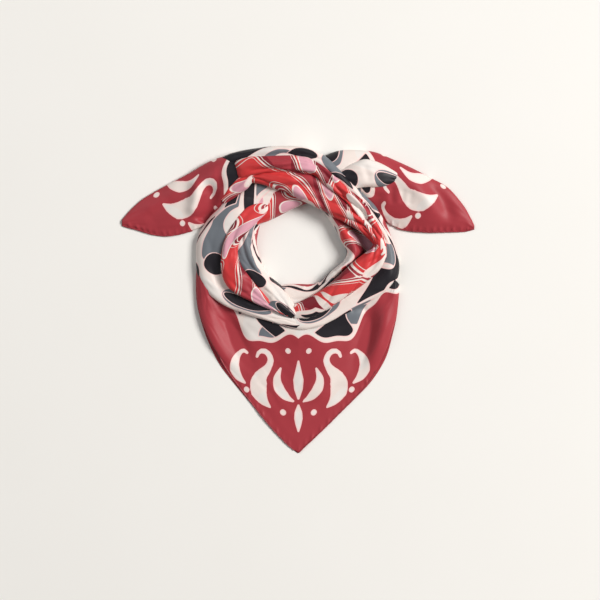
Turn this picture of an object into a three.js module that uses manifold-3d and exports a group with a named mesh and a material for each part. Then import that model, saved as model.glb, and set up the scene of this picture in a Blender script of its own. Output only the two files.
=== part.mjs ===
// A silk square folded corner to corner, its long edge gathered into a ring, laid flat on a surface.
// The double corner lies in front (-Y), the two ends cross behind and run out as tails (+Y).
// Millimetres, +Z up, origin at the middle of the footprint on the surface.
import * as THREE from "three";
import { mergeVertices } from "three/addons/utils/BufferGeometryUtils.js";
import Module from "manifold-3d";

const ply = 1.2; // wall of one flat layer of cloth
const gap = 0.3; // kept between two stretches that touch
const hemWidth = 2.2; // rolled hem, seen from above
const hemHeight = 2 * ply + gap; // the hems of both layers
const domeSteps = 8; // facets over the top of a rolled stretch
const sectionsPerRow = 2; // lofted sections for each row of a table
const clearOfAll = 90; // height of a cutter, above every stretch
const dustyRed = 0xa33c45;
const cream = 0xe9dcd2;
const grey = 0x76797f;
const charcoal = 0x35323a;
const brightRed = 0xc93c3c;

const wasm = await Module();
wasm.setup();

// Rows of numbers as objects that carry the names of their columns.
function table(names, rows) {
  const columns = names.split(" ");
  return rows.map((row) => Object.fromEntries(columns.map((name, i) => [name, row[i]])));
}

// Each rolled stretch has a row for each section: its edge away from the neck, its edge towards it
// and the height of its crest. The sides rise to a share of that height where a neighbour lies on.
const rolled = "outerX outerY innerX innerY crest";
const stretches = [
  {
    name: "upper_arm_middle",
    colour: brightRed,
    rise: { outer: 0.55, inner: 0.55 },
    rows: table(rolled, [
      [120, 89, 97, 93, 36],
      [110, 109, 88, 113, 37],
      [97, 124, 76, 127, 38],
      [82, 141, 65, 138, 38],
      [68, 154, 51, 148, 39],
      [54, 168, 37, 159, 40],
      [40, 182, 23, 172, 42],
      [23, 193, 8, 176, 43],
      [4, 199, -8, 176, 43],
      [-19, 200, -24, 178, 43],
      [-43, 199, -44, 178, 41],
      [-65, 197, -62, 175, 38],
      [-82, 192, -75, 169, 33],
    ]),
  },
  {
    name: "upper_arm_inner",
    colour: cream,
    rise: { outer: 0.5, inner: 0.35 },
    rows: table(rolled, [
      [112, 98, 104, 70, 34],
      [92, 112, 83, 88, 35],
      [75, 126, 66, 102, 35],
      [62, 136, 51, 112, 34],
      [46, 150, 36, 122, 34],
      [31, 162, 20, 130, 35],
      [14, 175, 3, 139, 36],
      [-6, 178, -14, 147, 36],
      [-26, 180, -33, 153, 36],
      [-48, 180, -51, 160, 34],
      [-66, 178, -68, 165, 30],
    ]),
  },
  {
    name: "upper_arm_outer",
    colour: grey,
    rise: { outer: 0.3, inner: 0.5 },
    rows: table(rolled, [
      [103, 123, 86, 128, 29],
      [92, 141, 75, 146, 30],
      [79, 158, 63, 158, 31],
      [62, 175, 48, 172, 32],
      [46, 192, 34, 184, 33],
      [32, 203, 20, 192, 34],
      [13, 211, 6, 197, 34],
      [-12, 214, -13, 198, 34],
      [-40, 213, -40, 197, 33],
      [-65, 210, -63, 194, 30],
      [-92, 204, -85, 188, 25],
    ]),
  },
  {
    name: "crossing_lobe",
    colour: brightRed,
    rise: { outer: 0.4, inner: 0.35 },
    rows: table(rolled, [
      [-76, 180, -63, 164, 31],
      [-83, 172, -70, 155, 29],
      [-91, 164, -79, 149, 26],
      [-100, 154, -90, 142, 21],
      [-107, 144, -101, 133, 15],
    ]),
  },
  {
    name: "left_tail",
    colour: dustyRed,
    rise: { outer: 0.35, inner: 0.3 },
    rows: table(rolled, [
      [-73, 204, -82, 154, 29],
      [-93, 203, -99, 140, 25],
      [-115, 197, -115, 124, 20],
      [-134, 188, -129, 109, 15],
      [-149, 179, -142, 101, 12],
      [-164, 171, -157, 97, 10],
      [-183, 161, -174, 93, 8],
      [-201, 150, -191, 92, 7],
      [-218, 140, -208, 95, 6],
      [-233, 127, -225, 100, 5],
      [-243, 116, -238, 104, 4],
      [-247, 110, -246, 107, 3.5],
    ]),
  },
  {
    name: "middle_fold_right",
    colour: brightRed,
    rise: { outer: 0.45, inner: 0.4 },
    rows: table(rolled, [
      [14, -26, 12, 2, 26],
      [27, -20, 20, 7, 27],
      [44, -10, 32, 15, 30],
      [65, 4, 49, 29, 33],
      [89, 22, 68, 47, 34],
      [110, 40, 86, 61, 35],
      [121, 59, 99, 71, 35],
      [123, 75, 102, 80, 35],
      [120, 90, 97, 91, 34],
    ]),
  },
  {
    name: "inner_fold_left",
    colour: cream,
    rise: { outer: 0.45, inner: 0.3 },
    rows: table(rolled, [
      [-71, 109, -50, 111, 19],
      [-82, 95, -57, 95, 20],
      [-87, 80, -58, 80, 21],
      [-87, 64, -54, 64, 21],
      [-80, 47, -48, 46, 22],
      [-68, 31, -36, 31, 23],
      [-55, 17, -24, 19, 24],
      [-43, 5, -17, 9, 25],
      [-31, -6, -12, -2, 25],
      [-19, -17, -5, -9, 25],
      [-3, -23, 3, -12, 24],
    ]),
  },
  {
    name: "middle_fold_left",
    colour: brightRed,
    rise: { outer: 0.45, inner: 0.5 },
    rows: table(rolled, [
      [-68, 137, -43, 117, 20],
      [-82, 122, -57, 106, 22],
      [-93, 103, -69, 95, 24],
      [-101, 87, -80, 84, 26],
      [-106, 66, -86, 70, 27],
      [-108, 45, -80, 50, 27],
      [-101, 24, -69, 35, 26],
      [-87, 9, -58, 21, 26],
      [-65, -2, -45, 8, 25],
      [-44, -11, -31, -4, 23],
      [-23, -19, -16, -13, 21],
      [2, -27, 4, -22, 18],
    ]),
  },
  {
    name: "inner_fold_right",
    colour: cream,
    rise: { outer: 0.6, inner: 0.3 },
    rows: table(rolled, [
      [-20, 0, -25, 20, 14],
      [-8, -6, -12, 22, 14],
      [6, -4, 5, 22, 15],
      [22, 4, 22, 22, 16],
      [37, 17, 33, 28, 18],
      [53, 29, 42, 37, 19],
      [69, 45, 53, 46, 20],
      [84, 54, 64, 56, 20],
      [104, 66, 67, 68, 20],
      [102, 84, 60, 81, 20],
      [90, 100, 54, 94, 20],
      [76, 114, 49, 103, 21],
      [60, 127, 41, 115, 22],
      [46, 134, 36, 122, 24],
    ]),
  },
  {
    name: "left_arm",
    colour: cream,
    rise: { outer: 0.4, inner: 0.25 },
    rows: table(rolled, [
      [22, 150, 22, 128, 18],
      [2, 150, 10, 136, 18],
      [-19, 160, -10, 126, 19],
      [-43, 164, -27, 118, 20],
      [-68, 163, -45, 111, 21],
      [-87, 152, -59, 105, 21],
      [-107, 134, -72, 100, 19],
      [-127, 110, -82, 92, 16],
    ]),
  },
  {
    name: "outer_fold_left",
    colour: grey,
    rise: { outer: 0.3, inner: 0.5 },
    rows: table(rolled, [
      [-109, 131, -80, 104, 16],
      [-125, 110, -86, 96, 16],
      [-140, 89, -94, 82, 16],
      [-142, 70, -100, 68, 17],
      [-143, 49, -103, 53, 17],
      [-139, 28, -100, 36, 16],
      [-124, 10, -93, 22, 15],
      [-104, -6, -78, 10, 15],
      [-82, -16, -59, 0, 16],
      [-55, -25, -40, -7, 17],
      [-26, -36, -17, -17, 18],
      [1, -42, 4, -21, 18],
    ]),
  },
  {
    name: "outer_fold_right",
    colour: grey,
    rise: { outer: 0.3, inner: 0.5 },
    rows: table(rolled, [
      [2, -42, 5, -21, 18],
      [27, -37, 25, -16, 17],
      [51, -25, 43, -4, 16],
      [75, -14, 64, 10, 16],
      [97, -2, 83, 25, 16],
      [120, 9, 100, 42, 17],
      [138, 26, 113, 59, 18],
      [138, 46, 117, 73, 18],
      [136, 67, 116, 87, 17],
      [130, 88, 109, 103, 16],
      [122, 108, 99, 120, 16],
      [108, 128, 86, 138, 16],
      [90, 148, 72, 154, 16],
    ]),
  },
  {
    name: "right_tail_fold",
    colour: brightRed,
    rise: { outer: 0.6, inner: 0.5 },
    rows: table(rolled, [
      [62, 178, 75, 155, 30],
      [74, 187, 85, 157, 30],
      [89, 196, 95, 158, 29],
      [106, 192, 108, 158, 27],
      [122, 185, 118, 161, 24],
      [137, 178, 128, 167, 18],
    ]),
  },
  {
    name: "right_tail",
    colour: dustyRed,
    rise: { outer: 0.35, inner: 0.3 },
    rows: table(rolled, [
      [38, 200, 64, 166, 25],
      [56, 207, 76, 152, 25],
      [78, 208, 91, 142, 23],
      [103, 206, 106, 125, 20],
      [125, 199, 124, 111, 16],
      [151, 187, 145, 101, 13],
      [181, 171, 174, 98, 10],
      [208, 156, 202, 98, 8],
      [230, 131, 229, 99, 6],
      [241, 113, 239, 99, 5],
      [246, 103, 245, 101, 4],
    ]),
  },
];

// The front corner, from its point up to the ring: the outline on each side and the height between.
const frontRows = table("leftX leftY rightX rightY crest", [
  [-2, -213, 2, -213, 2.7],
  [-26, -189, 28, -187, 3.4],
  [-48, -166, 49, -168, 4.2],
  [-70, -140, 70, -146, 5],
  [-91, -115, 91, -127, 6],
  [-112, -86, 115, -96, 8],
  [-123, -65, 124, -75, 10],
  [-133, -35, 132, -48, 12],
  [-140, -5, 139, -10, 13],
  [-143, 20, 141, 20, 14],
  [-142, 40, 139, 34, 14],
]);
const hemmedRows = 6; // rows of the front corner that have a hem at both sides

// Points of a line moved sideways, to the left of its direction where by is positive.
function shifted(points, by) {
  return points.map((point, i) => {
    const before = points[Math.max(i - 1, 0)];
    const after = points[Math.min(i + 1, points.length - 1)];
    const along = after.clone().sub(before).normalize();
    return new THREE.Vector2(point.x - along.y * by, point.y + along.x * by);
  });
}

// A table's two edges and its crests as smooth lines, with more sections than rows.
function smoothed(outer, inner, crests) {
  const line = (points) =>
    new THREE.CatmullRomCurve3(points.map((p, i) => new THREE.Vector3(p.x, p.y, crests[i])));
  const [outerLine, innerLine] = [line(outer), line(inner)];
  const count = (outer.length - 1) * sectionsPerRow;
  return Array.from({ length: count + 1 }, (_, i) => {
    const from = outerLine.getPoint(i / count);
    const to = innerLine.getPoint(i / count);
    return { outer: from, inner: to, crest: from.z };
  });
}

// A section reaches from one edge to the other: points of share along it and height.
function rolledProfile(crest, rise) {
  const top = Array.from({ length: domeSteps + 1 }, (_, i) => {
    const turn = (Math.PI * i) / domeSteps;
    const side = crest * (i * 2 < domeSteps ? rise.outer : rise.inner);
    return [(1 - Math.cos(turn)) / 2, side + (crest - side) * Math.sin(turn)];
  });
  return [[0, 0], ...top, [1, 0]];
}

// The upper layer of the front corner: thin at its sides, a soft ridge inside each, level between.
function frontProfile(crest) {
  const low = ply + gap;
  const lift = crest - 2 * ply - gap;
  const top = [
    [0, 0],
    [0.03, 0.55],
    [0.09, 1],
    [0.2, 0.7],
    [0.5, 0.6],
    [0.8, 0.7],
    [0.91, 1],
    [0.97, 0.55],
    [1, 0],
  ].map(([share, part]) => [share, low + ply + lift * part]);
  return [[0, low], ...top, [1, low]];
}

function blockProfile(low, high) {
  return [
    [0, low],
    [0, high],
    [1, high],
    [1, low],
  ];
}

// A closed body lofted through sections, each standing on the line from its outer to its inner edge.
function loft(sections, profileOf) {
  const rings = sections.map((section) =>
    profileOf(section.crest).map(([share, height]) => [
      THREE.MathUtils.lerp(section.outer.x, section.inner.x, share),
      THREE.MathUtils.lerp(section.outer.y, section.inner.y, share),
      height,
    ]),
  );
  const size = rings[0].length;
  const faces = [];
  for (let i = 1; i < rings.length; i++) {
    for (let j = 0; j < size; j++) {
      const [a, b] = [(i - 1) * size + j, (i - 1) * size + ((j + 1) % size)];
      faces.push(a, b, b + size, a, b + size, a + size);
    }
  }
  const last = (rings.length - 1) * size;
  for (let j = 1; j < size - 1; j++) {
    faces.push(0, j + 1, j, last, last + j, last + j + 1);
  }
  const geometry = new THREE.BufferGeometry();
  geometry.setAttribute("position", new THREE.Float32BufferAttribute(rings.flat(2), 3));
  geometry.setIndex(faces);
  return solidFrom(geometry);
}

// A manifold-3d solid of a closed geometry, whichever way round its faces were given.
function solidFrom(geometry) {
  const merged = mergeVertices(geometry, 1e-4);
  const make = (triVerts) =>
    new wasm.Manifold(
      new wasm.Mesh({
        numProp: 3,
        vertProperties: merged.attributes.position.array,
        triVerts,
      }),
    );
  const triVerts = new Uint32Array(merged.index.array);
  const solid = make(triVerts);
  return solid.volume() > 0 ? solid : make(triVerts.slice().reverse());
}

// Sections with each edge and end moved out, for the space that a stretch keeps clear round itself.
function grown(sections, by) {
  const wider = sections.map(({ outer, inner, crest }) => {
    const across = inner.clone().sub(outer).setZ(0).normalize().multiplyScalar(by);
    return { outer: outer.clone().sub(across), inner: inner.clone().add(across), crest };
  });
  for (const [end, next] of [
    [0, 1],
    [wider.length - 1, wider.length - 2],
  ]) {
    for (const edge of ["outer", "inner"]) {
      const away = wider[end][edge].clone().sub(wider[next][edge]).setZ(0).normalize();
      wider[end] = { ...wider[end], [edge]: wider[end][edge].clone().addScaledVector(away, by) };
    }
  }
  return wider;
}

// The largest body of a solid, without the slivers that a cut may leave.
function mainBody(solid) {
  return solid.decompose().reduce((most, body) => (body.volume() > most.volume() ? body : most));
}

const part = new THREE.Group();
const cutters = []; // the space of each stretch made so far, from the top of the heap down

function addStretch(name, colour, sections, profileOf) {
  const whole = loft(sections, profileOf);
  const cut = cutters.reduce((rest, cutter) => rest.subtract(cutter), whole);
  const mesh = mainBody(cut).getMesh();
  const geometry = new THREE.BufferGeometry();
  geometry.setAttribute("position", new THREE.BufferAttribute(mesh.vertProperties, 3));
  geometry.setIndex(new THREE.BufferAttribute(mesh.triVerts, 1));
  const flat = geometry.toNonIndexed();
  flat.computeVertexNormals();
  const material = new THREE.MeshStandardMaterial({ color: colour, roughness: 0.45, metalness: 0 });
  const stretch = new THREE.Mesh(flat, material);
  stretch.name = name;
  part.add(stretch);
}

function keepClear(sections) {
  cutters.push(loft(grown(sections, gap), () => blockProfile(-1, clearOfAll)));
}

function sideOf(rows, x, y) {
  return rows.map((row) => new THREE.Vector2(row[x], row[y]));
}

// A rolled hem along a line of the outline, on the side of the cloth.
function addHem(name, outline, inward) {
  const inner = shifted(outline, inward * hemWidth);
  const sections = smoothed(outline, inner, outline.map(() => hemHeight));
  addStretch(name, dustyRed, sections, (crest) =>
    rolledProfile(crest, { outer: 0.4, inner: 0.4 }),
  );
  keepClear(sections);
}

function addRolledStretches() {
  for (const { name, colour, rise, rows } of stretches) {
    const outer = sideOf(rows, "outerX", "outerY");
    const inner = sideOf(rows, "innerX", "innerY");
    const sections = smoothed(outer, inner, rows.map((row) => row.crest));
    addStretch(name, colour, sections, (crest) => rolledProfile(crest, rise));
    keepClear(sections);
  }
}

// The hems of both tails run along their edge towards the front and round their tips.
function addTailHems() {
  const leftTip = 5; // row of the left tail where its hem comes out from under the arm
  const left = stretches.find(({ name }) => name === "left_tail").rows.slice(leftTip);
  const right = stretches.find(({ name }) => name === "right_tail").rows.slice(5);
  const reach = hemWidth + gap;
  addHem("left_tail_hem", shifted(sideOf(left, "innerX", "innerY"), reach), -1);
  addHem("right_tail_hem", shifted(sideOf(right, "innerX", "innerY"), -reach), 1);
}

function addFrontCorner() {
  const left = sideOf(frontRows, "leftX", "leftY");
  const right = sideOf(frontRows, "rightX", "rightY");
  addHem("front_hem_left", left.slice(0, hemmedRows), -1);
  addHem("front_hem_right", right.slice(0, hemmedRows), 1);
  const sections = smoothed(left, right, frontRows.map((row) => row.crest));
  addStretch("front_corner_upper", dustyRed, sections, frontProfile);
  addStretch("front_corner_lower", dustyRed, sections, () => blockProfile(0, ply));
}

addRolledStretches();
addTailHems();
addFrontCorner();

export default part;
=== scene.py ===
import math

import bmesh
import bpy
import numpy as np
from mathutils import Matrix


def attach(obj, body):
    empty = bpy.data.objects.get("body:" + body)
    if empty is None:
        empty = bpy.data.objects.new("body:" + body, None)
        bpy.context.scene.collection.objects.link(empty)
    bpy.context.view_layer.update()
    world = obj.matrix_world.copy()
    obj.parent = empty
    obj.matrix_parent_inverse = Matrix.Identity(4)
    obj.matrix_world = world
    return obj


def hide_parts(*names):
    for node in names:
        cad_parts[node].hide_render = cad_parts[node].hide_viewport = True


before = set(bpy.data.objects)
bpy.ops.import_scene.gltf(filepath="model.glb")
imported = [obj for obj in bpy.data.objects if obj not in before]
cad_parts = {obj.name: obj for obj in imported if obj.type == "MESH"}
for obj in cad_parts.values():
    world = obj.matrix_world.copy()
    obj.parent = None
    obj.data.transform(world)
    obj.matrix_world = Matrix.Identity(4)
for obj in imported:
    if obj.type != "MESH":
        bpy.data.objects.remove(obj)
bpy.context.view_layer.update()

mm = 0.001

cloth = {
    "step": 1.5,  # mm between the points of a stretch
    "thickness": 0.4,  # mm, shell of one layer
    "halfDiagonal": 636.4,  # mm from the middle of the square to a corner
    "clearance": 0.1,  # mm kept between the cloth and the floor
}


# tables and lines

def table(names, rows):
    values = np.array(rows, float)
    return {name: values[:, i] for i, name in enumerate(names.split())}


def lineThrough(points, where):
    # a smooth line through points, read at places counted in points
    points = np.asarray(points, float)
    last = len(points) - 1
    i = np.clip(np.floor(where).astype(int), 0, last - 1)
    t = (where - i)[:, None]
    a, b = points[np.maximum(i - 1, 0)], points[i]
    c, d = points[i + 1], points[np.minimum(i + 2, last)]
    return 0.5 * (2 * b + (c - a) * t + (2 * a - 5 * b + 4 * c - d) * t**2 + (3 * b - a - 3 * c + d) * t**3)


def evenPlaces(points, count):
    # places that cut a smooth line into equal lengths, and its length
    fine = np.linspace(0, len(points) - 1, 40 * len(points))
    line = lineThrough(points, fine)
    run = np.concatenate([[0], np.cumsum(np.linalg.norm(np.diff(line, axis=0), axis=1))])
    return np.interp(np.linspace(0, run[-1], count + 1), run, fine), run[-1]


def smoothStep(low, high, value):
    t = np.clip((value - low) / (high - low), 0, 1)
    return t * t * (3 - 2 * t)


def alongPath(x, y, path, pieces=24):
    # how far each point is from a path, on which side, and how far along it is nearest
    places, length = evenPlaces(path, pieces)
    line = lineThrough(path, places)
    best = np.full(x.shape, 1e9)
    share, side = np.zeros(x.shape), np.zeros(x.shape)
    for k in range(pieces):
        (ax, ay), (bx, by) = line[k], line[k + 1]
        dx, dy = bx - ax, by - ay
        span = max(dx * dx + dy * dy, 1e-9)
        t = np.clip(((x - ax) * dx + (y - ay) * dy) / span, 0, 1)
        gap = np.hypot(x - ax - t * dx, y - ay - t * dy)
        near = gap < best
        best = np.where(near, gap, best)
        share = np.where(near, (k + t) / pieces, share)
        side = np.where(near, np.sign(dx * (y - ay) - dy * (x - ax)), side)
    return best, side, share


# the print, in mm on the flat square

printPlan = {
    "radius": 420.0,  # mm from the middle of the square to the ring's scalloped edge
    "roundness": 3.35,  # power of the rounded square that the ring follows
    "perRadian": 430.0,  # mm along the ring for each radian round the middle
    "repeat": 338.0,  # mm along the ring from a corner's middle to a side's middle
    "depth": 82.0,  # mm from the scalloped edge in to the red middle
    "lean": 0.55,  # mm that the red patches lean along the ring for each mm in
    "margin": 5.0,  # mm of cream kept round the grey and charcoal patches
    "furthest": 20.0,  # mm, distances are not told apart past this
}

marbles = {  # uneven surfaces whose contours draw the patches: size along and in, level, seed
    "grey": (74, 40, 0.75, 19),
    "charcoal": (62, 34, 0.9, 154),
    "petal": (52, 74, 0.45, 12),
    "deep": (58, 66, 0.0, 29),
    "rose": (60, 44, 2.2, 38),
    "pale": (56, 36, 2.5, 91),
}

cornerMotifs = [  # leaves, drops and dots of a corner: side, distance from the corner, half width
    [(0, 30, 0.6), (0, 38, 3.4), (0, 48, 5.2), (0, 57, 4.6), (0, 66, 1.0)],
    [(0, 76, 1.0), (0, 88, 5.4), (0, 102, 6.6), (0, 116, 3.6), (0, 128, 0.6)],
    [(7, 72, 0.8), (17, 78, 5.0), (27, 90, 6.4), (30, 104, 4.4), (25, 118, 0.8)],
    [(21, 56, 3.2), (22, 57, 3.2)],
    [(40, 64, 0.8), (50, 74, 6.0), (57, 90, 11.0), (54, 106, 11.5), (44, 118, 7.4), (39, 130, 4.2),
     (45, 141, 3.2), (55, 142, 2.8), (59, 135, 1.4)],
    [(74, 88, 3.0), (75, 89, 3.0)],
    [(77, 98, 0.8), (87, 107, 4.8), (93, 120, 7.0), (90, 134, 5.6), (81, 143, 2.6), (74, 140, 1.2)],
    [(14, 142, 2.8), (15, 143, 2.8)],
]


def strokeField(x, y, stroke):
    # signed distance to a stroke whose half width changes along it
    points = np.array(stroke, float)
    gap, _, share = alongPath(x, y, points[:, :2], 20)
    return gap - np.interp(share, np.linspace(0, 1, len(points)), points[:, 2])


def contour(u, v, long, wide, level, seed):
    # signed distance to the contour of an uneven surface made of a few crossing waves
    rng = np.random.default_rng(seed)
    height, slopeU, slopeV = np.zeros(u.shape), np.zeros(u.shape), np.zeros(u.shape)
    for _ in range(8):
        angle, size = rng.uniform(0, math.tau), rng.uniform(0.75, 1.5)
        stepU = math.tau * math.cos(angle) / (long * size)
        stepV = math.tau * math.sin(angle) / (wide * size)
        phase = stepU * u + stepV * v + rng.uniform(0, math.tau)
        height += np.sin(phase)
        slopeU += stepU * np.cos(phase)
        slopeV += stepV * np.cos(phase)
    return (level - height) / np.maximum(np.hypot(slopeU, slopeV), 0.03)


def printFields(ring, inward, side=None, tip=None):
    # ring and inward are mm along the ring and in from its edge, side and tip mm from a corner
    repeat = printPlan["repeat"]
    fromCorner = np.abs((ring + repeat) % (2 * repeat) - repeat)
    scallops = 8 * np.sin(fromCorner / 15.5 + 0.9) + 3 * np.sin(fromCorner / 6.3)
    edge = 24 * smoothStep(40, 150, fromCorner) + scallops
    inner = printPlan["depth"] + 7 * np.sin(ring / 19.0) + 3 * np.sin(ring / 7.7 + 1)
    bent = ring + 12 * np.sin(inward / 21.0) + 7 * np.sin(ring / 31.0 + inward / 40.0)
    leaning = bent + printPlan["lean"] * inward
    drawn = {key: contour(bent if key in ("grey", "charcoal") else leaning, inward, *marble)
             for key, marble in marbles.items()}
    band = np.maximum(edge - inward, inward - inner)
    fields = {"cream": band}
    if tip is not None:
        for stroke in cornerMotifs:
            fields["cream"] = np.minimum(fields["cream"], strokeField(np.abs(side), tip, stroke))
    for key in ("grey", "charcoal"):
        fields[key] = np.maximum(drawn[key], band + printPlan["margin"])
    for key in ("petal", "deep", "rose", "pale"):
        fields[key] = drawn[key]
    fields["middle"] = inner - inward
    fields["ghost"] = contour(ring, inward, 50, 40, 0.5, 77)
    furthest = printPlan["furthest"]
    return {key: np.clip(values, -furthest, furthest) for key, values in fields.items()}


def cornerFields(side, tip):
    # the print at a place given from a corner: across its diagonal and along it
    out, off = cloth["halfDiagonal"] - tip, np.abs(side)
    far, near = np.abs(out + off) / math.sqrt(2), np.abs(out - off) / math.sqrt(2)
    n = printPlan["roundness"]
    radius = (far**n + near**n) ** (1 / n)
    ring = np.sign(side) * np.arctan2(off, out) * printPlan["perRadian"]
    return printFields(ring, printPlan["radius"] - radius, side, tip)


# making a stretch of cloth

def gridMesh(name, points, fields, flat):
    # points, fields and flat (the place on the flat cloth) are arrays, long side first
    long, wide = points.shape[0] - 1, points.shape[1] - 1
    bm = bmesh.new()
    bmesh.ops.create_grid(bm, x_segments=long, y_segments=wide, size=1)
    mesh = bpy.data.meshes.new(name)
    bm.to_mesh(mesh)
    bm.free()
    co = np.empty(len(mesh.vertices) * 3)
    mesh.vertices.foreach_get("co", co)
    co = co.reshape(-1, 3)
    i = np.rint((co[:, 0] + 1) / 2 * long).astype(int)
    j = np.rint((co[:, 1] + 1) / 2 * wide).astype(int)
    mesh.vertices.foreach_set("co", (points[i, j] * mm).ravel())
    for key, values in fields.items():
        mesh.attributes.new(key, "FLOAT", "POINT").data.foreach_set("value", values[i, j])
    corner = np.empty(len(mesh.loops), int)
    mesh.loops.foreach_get("vertex_index", corner)
    uv = mesh.uv_layers.new(name="cloth")
    uv.data.foreach_set("uv", (flat[i, j][corner] * mm).ravel())
    mesh.update()
    up = np.empty(len(mesh.polygons) * 3)
    mesh.polygons.foreach_get("normal", up)
    if up.reshape(-1, 3)[:, 2].mean() < 0:
        mesh.flip_normals()
    mesh.shade_smooth()
    return mesh


def normalsOf(points):
    a = np.gradient(points, axis=0)
    b = np.gradient(points, axis=1)
    n = np.cross(a, b)
    n /= np.maximum(np.linalg.norm(n, axis=2, keepdims=True), 1e-9)
    return n if n[:, :, 2].mean() > 0 else -n


def pressFolds(points, folds):
    # each fold is a soft trough or ridge along a path seen from above
    total = np.zeros(points.shape[:2])
    for fold in folds:
        gap, side, share = alongPath(points[:, :, 0], points[:, :, 1], fold["path"])
        width = np.where(side > 0, fold["width"], fold["width"] * fold.get("lean", 1.0))
        fade = fold.get("fade", (0.25, 0.25))
        ends = smoothStep(0, max(fade[0], 1e-3), share) * smoothStep(0, max(fade[1], 1e-3), 1 - share)
        total += fold["height"] * np.exp(-((gap / width) ** 2)) * ends
    return points + np.dstack([0 * total, 0 * total, total])


def pressPleats(points, breadth, pleats):
    # creases that run with the stretch: share across at both ends, from, to, width, height
    long, wide = points.shape[0], points.shape[1]
    t, share = np.linspace(0, 1, long)[:, None], np.linspace(0, 1, wide)[None]
    total = np.zeros((long, wide))
    for start, end, low, high, width, height in pleats:
        run = np.clip((t - low) / (high - low), 0, 1)
        place = start + (end - start) * run + 0.025 * np.sin(9 * run + 20 * start)
        gap = np.abs(share - place) * breadth / width
        ramp = 0.3 * (high - low)
        ends = smoothStep(low, low + ramp, t) * smoothStep(-high, -high + ramp, -t)
        total += height * np.exp(-(gap**1.35)) * ends
    return points + normalsOf(points) * total[:, :, None]


puckers = {  # mm
    "apart": (8, 12.5),  # least and most from one stitch to the next
    "width": 1.9,
    "height": 1.6,
    "inFromEdge": 3.2,
    "reach": 4.2,
}


def pressPuckers(points, length, edge, low, high, seed):
    # short gathers where the stitches of a hem pull at the cloth
    rng = np.random.default_rng(seed)
    run = np.linspace(0, length, points.shape[0])
    stitches = np.cumsum(rng.uniform(*puckers["apart"], int(length / 9)))
    deep = rng.uniform(0.4, 1.0, len(stitches))
    pull = (deep * np.exp(-(((run[:, None] - stitches[None]) / puckers["width"]) ** 2))).sum(axis=1)
    pull *= (run > low * length) & (run < high * length)
    away = np.linalg.norm(points - points[:, edge][:, None], axis=2)
    near = np.exp(-((away - puckers["inFromEdge"]) / puckers["reach"]) ** 2)
    total = pull[:, None] * near * puckers["height"]
    return points + normalsOf(points) * total[:, :, None]


dent = {
    "length": (7, 17),  # mm, least and most of each half
    "width": (1.5, 2.8),
    "turn": 0.38,  # radians out of the way that the stretch runs
    "bend": 0.012,
}


def pressDents(points, along, across, seed, count, height):
    # short creases scattered over a stretch, mostly running with it
    rng = np.random.default_rng(seed + 500)
    total = np.zeros(points.shape[:2])
    for _ in range(count):
        at, off = rng.uniform(0.04, 0.96) * along.max(), rng.uniform(0.15, 0.85) * across.max()
        turn, size = rng.normal(0, dent["turn"]), rng.uniform(*dent["length"])
        run = math.cos(turn) * (along - at) + math.sin(turn) * (across - off)
        gap = math.cos(turn) * (across - off) - math.sin(turn) * (along - at) + dent["bend"] * run**2
        deep = rng.uniform(0.4, 1.0) * rng.choice([-1, -1, 0.7])
        total += deep * np.exp(-((gap / rng.uniform(*dent["width"])) ** 2) - (run / size) ** 4)
    return points + normalsOf(points) * (height * total)[:, :, None]


waves = {
    "count": 7,
    "long": (45, 120),  # mm from crest to crest, least and most
    "wide": (13, 34),
    "usual": 2.6,  # what they reach together, for a height of 1
}


def ripple(points, along, across, seed, height):
    # the small unevenness of loose silk, longer along the stretch than across it
    rng = np.random.default_rng(seed)
    total = np.zeros(points.shape[:2])
    for _ in range(waves["count"]):
        longWave, wideWave = rng.uniform(*waves["long"]), rng.uniform(*waves["wide"])
        phase, tilt = rng.uniform(0, math.tau), rng.uniform(-0.5, 0.5)
        lengthways = np.sin(math.tau * (along / longWave + tilt * across / wideWave) + phase)
        total += lengthways * np.sin(math.tau * across / wideWave + rng.uniform(0, math.tau))
    return points + normalsOf(points) * (height * total / waves["usual"])[:, :, None]


# a row has its outer and inner edge seen from above, the heights of its crest and of its outer foot,
# and its share of the stretch's second profile
rowNames = "outerX outerY innerX innerY crest foot roll"

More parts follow.
